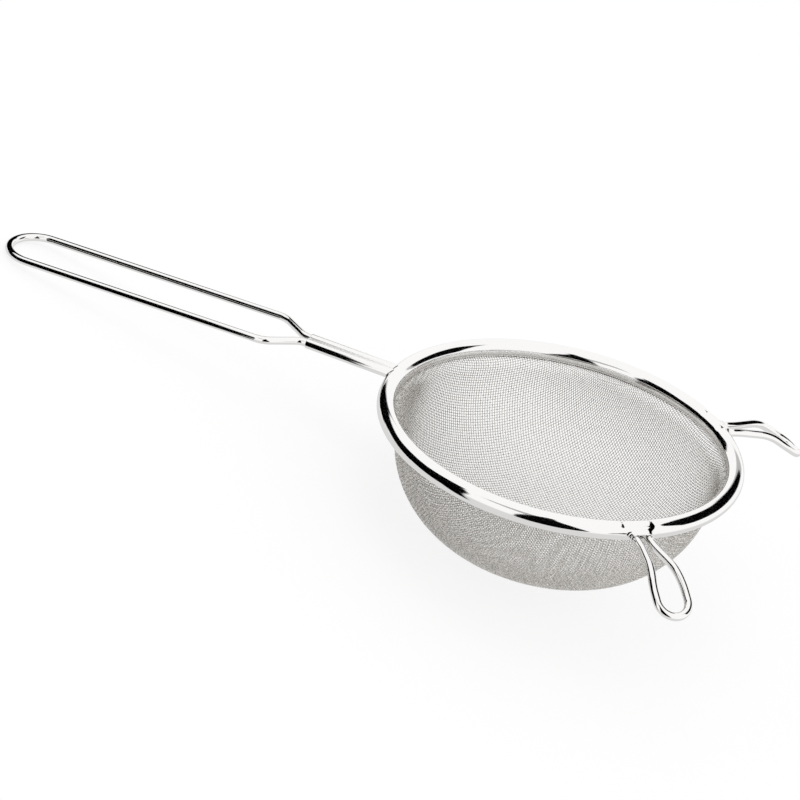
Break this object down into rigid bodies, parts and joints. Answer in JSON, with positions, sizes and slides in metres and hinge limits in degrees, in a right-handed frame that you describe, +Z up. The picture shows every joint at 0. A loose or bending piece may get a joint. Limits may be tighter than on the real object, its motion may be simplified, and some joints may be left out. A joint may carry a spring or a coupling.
{
  "type": "wire mesh strainer",
  "caption": "Round-bottomed strainer of woven wire cloth in a rolled steel rim, with a bent wire loop handle and wire rest ears.",
  "frame": {"origin": "on the table, under the middle of the object's box as it rests on the bowl and the handle's end", "axes": "+X from the handle towards the rest ears, +Y to the left ear, +Z up off the table; the rim leans 12.5 degrees down towards the handle"},
  "size_m": [0.3456, 0.1824, 0.0816],
  "materials": {
    "woven_wire_cloth": "plain-woven drawn stainless steel wire, bright",
    "rolled_rim_strip": "rolled stainless steel strip, mirror polished",
    "ring_wire": "drawn steel wire, hidden inside the strip",
    "bent_wire": "bent stainless steel wire, electropolished",
    "pressed_sleeve": "pressed stainless steel sheet, polished"
  },
  "bodies": {
    "root": {"mesh_bowl": "woven_wire_cloth", "rim_band": "rolled_rim_strip", "support_ring": "ring_wire", "handle_wire": "bent_wire", "neck_sleeve": "pressed_sleeve", "rest_ear_left": "bent_wire", "rest_ear_right": "bent_wire"}
  },
  "joints": []
}
